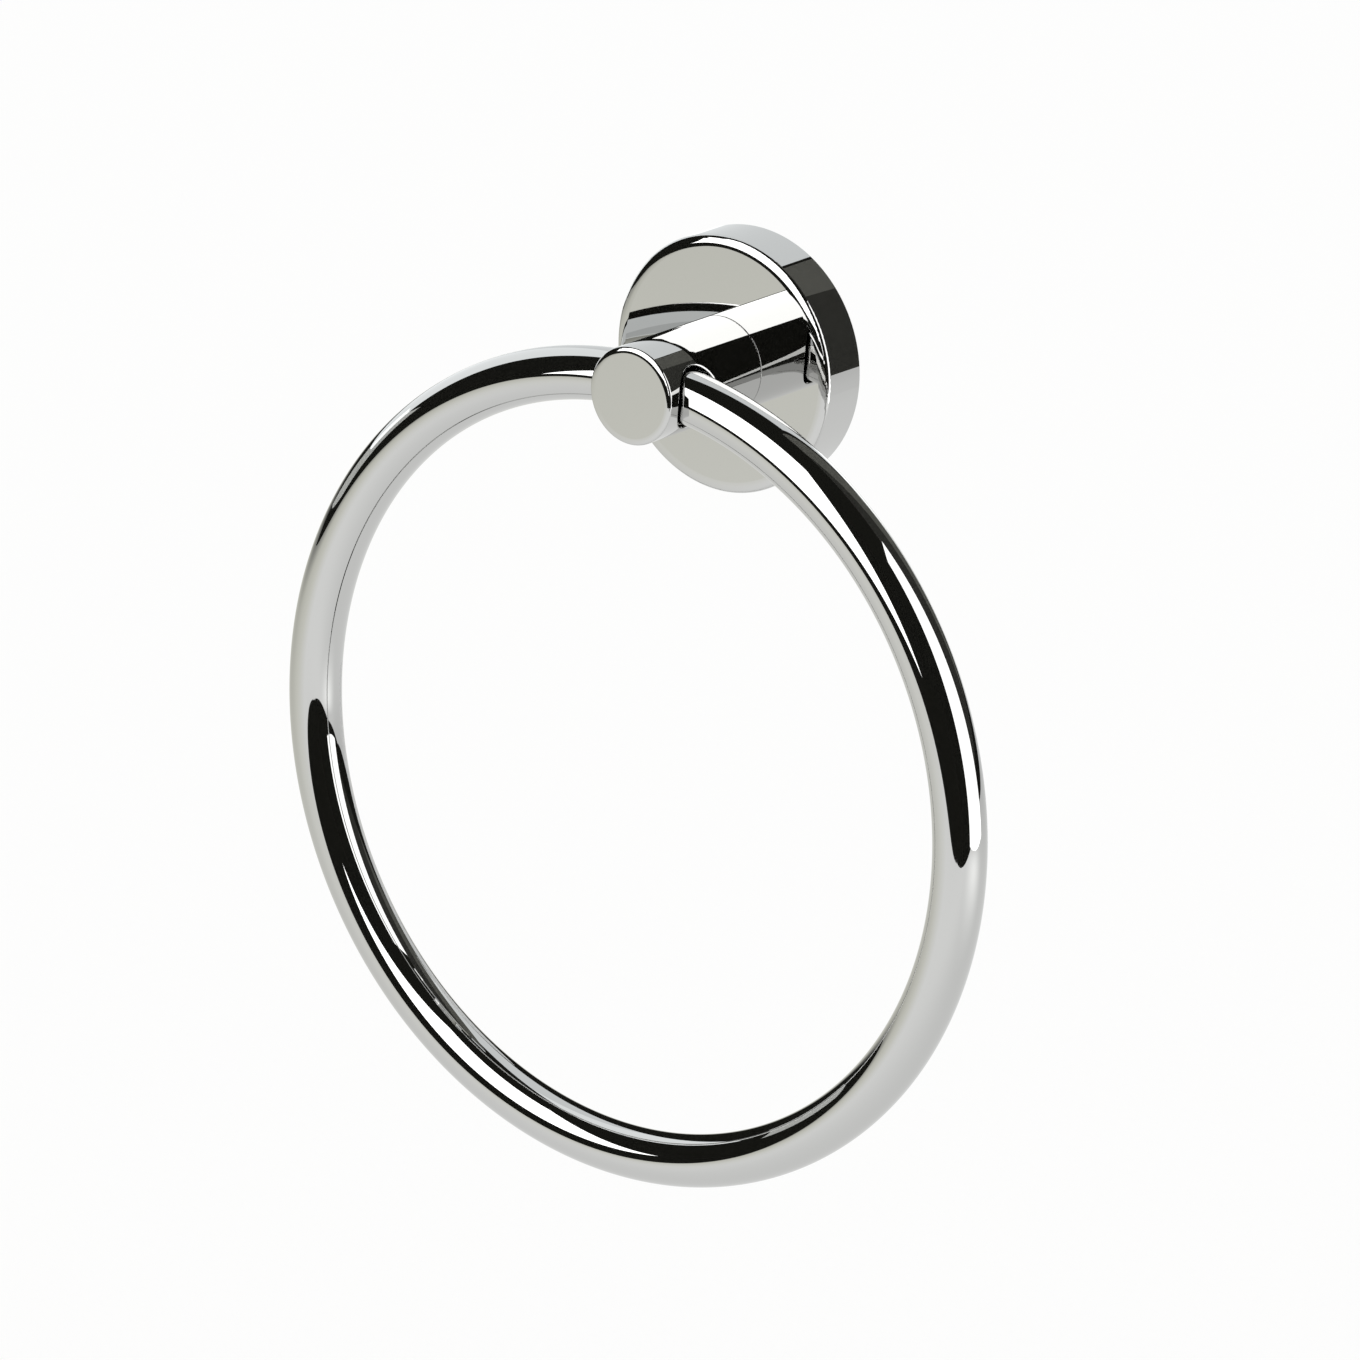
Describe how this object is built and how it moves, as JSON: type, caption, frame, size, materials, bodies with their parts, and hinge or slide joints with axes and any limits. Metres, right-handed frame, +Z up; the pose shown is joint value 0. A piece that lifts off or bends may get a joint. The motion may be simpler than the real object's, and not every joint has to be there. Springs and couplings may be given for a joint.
{
  "type": "towel ring",
  "caption": "Wall towel ring: a hollow round flange on a hidden bracket carries a straight post with a plain ring that swings in a cross bore.",
  "frame": {"origin": "centre of the flange's back on the wall plane, midway between the bracket's two screw slots", "axes": "+Z up, +Y into the wall, the post points to -Y, +X to the right when facing the wall"},
  "size_m": [0.16, 0.0375, 0.179],
  "materials": {
    "chrome": "polished chrome plating",
    "zinc_plated_steel": "bright zinc plating"
  },
  "bodies": {
    "holder": {"flange_cup": "chrome", "post": "chrome", "post_screw": "zinc_plated_steel", "post_washer": "zinc_plated_steel", "wall_bracket": "zinc_plated_steel", "lock_screw": "zinc_plated_steel"},
    "ring_body": {"ring": "chrome"}
  },
  "joints": [
    {"name": "ring_swing", "type": "hinge", "parent": "holder", "child": "ring_body", "pos_m": [0, -0.0293, 0], "axis": [-1, 0, 0], "range_deg": [-9.3, 189.3]}
  ]
}
